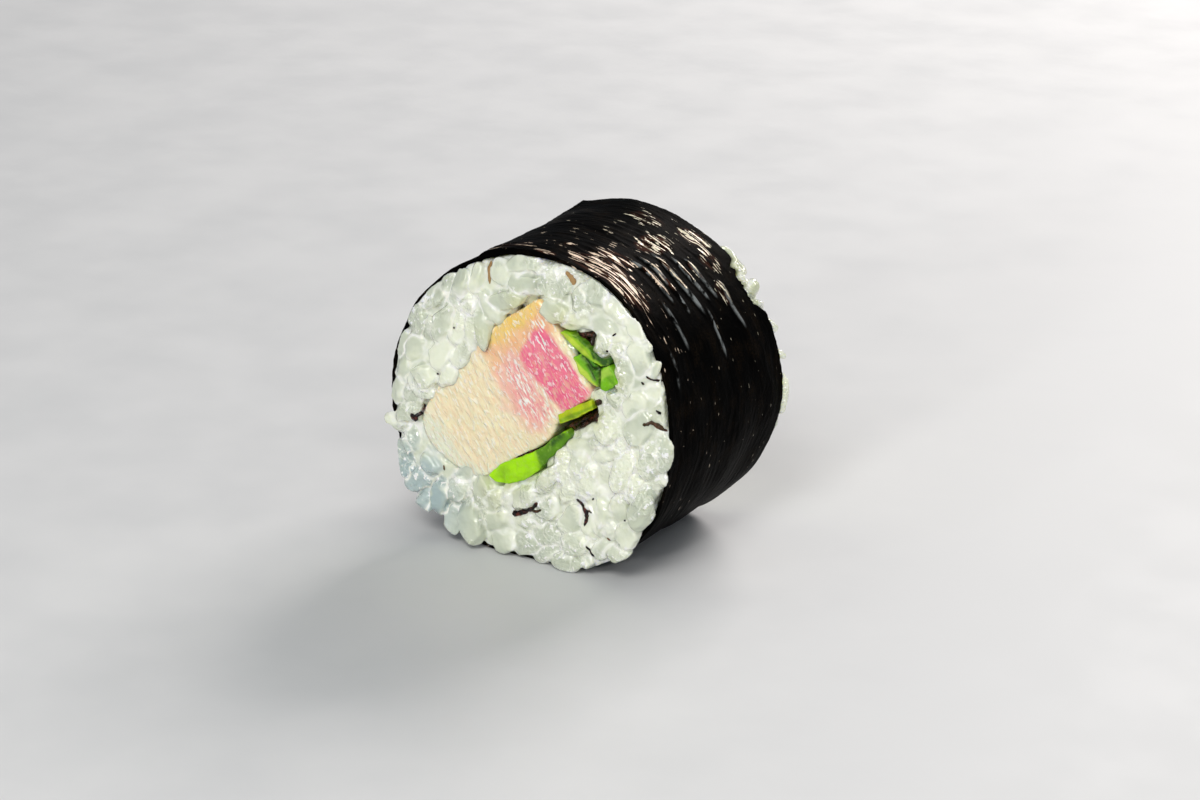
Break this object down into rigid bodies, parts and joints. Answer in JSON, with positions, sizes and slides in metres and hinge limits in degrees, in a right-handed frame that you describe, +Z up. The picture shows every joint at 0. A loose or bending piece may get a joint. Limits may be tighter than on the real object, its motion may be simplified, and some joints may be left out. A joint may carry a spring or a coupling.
{
  "type": "maki sushi roll",
  "caption": "Cut piece of a thick maki roll lying on its side: a seaweed sheet round rice, with a stick of fish and blades of scallion running from cut to cut.",
  "frame": {"origin": "on the table, under the middle of the whole roll", "axes": "+Y runs along the roll, from the near cut to the far cut; +Z is up; +X runs across the roll, to the right when the near cut is looked at"},
  "size_m": [0.044, 0.0298, 0.0408],
  "materials": {
    "nori": "glossy roasted seaweed, finely wrinkled round the roll",
    "rice": "moist, translucent cooked grains",
    "fish": "wet raw fish, peach with a pink band",
    "scallion": "fresh green leaf, smooth"
  },
  "bodies": {
    "root": {"nori": "nori", "rice": "rice", "fish": "fish", "scallion_tip": "scallion", "scallion_fold": "scallion", "scallion_stalk": "scallion", "scallion_leaf": "scallion"}
  },
  "joints": []
}
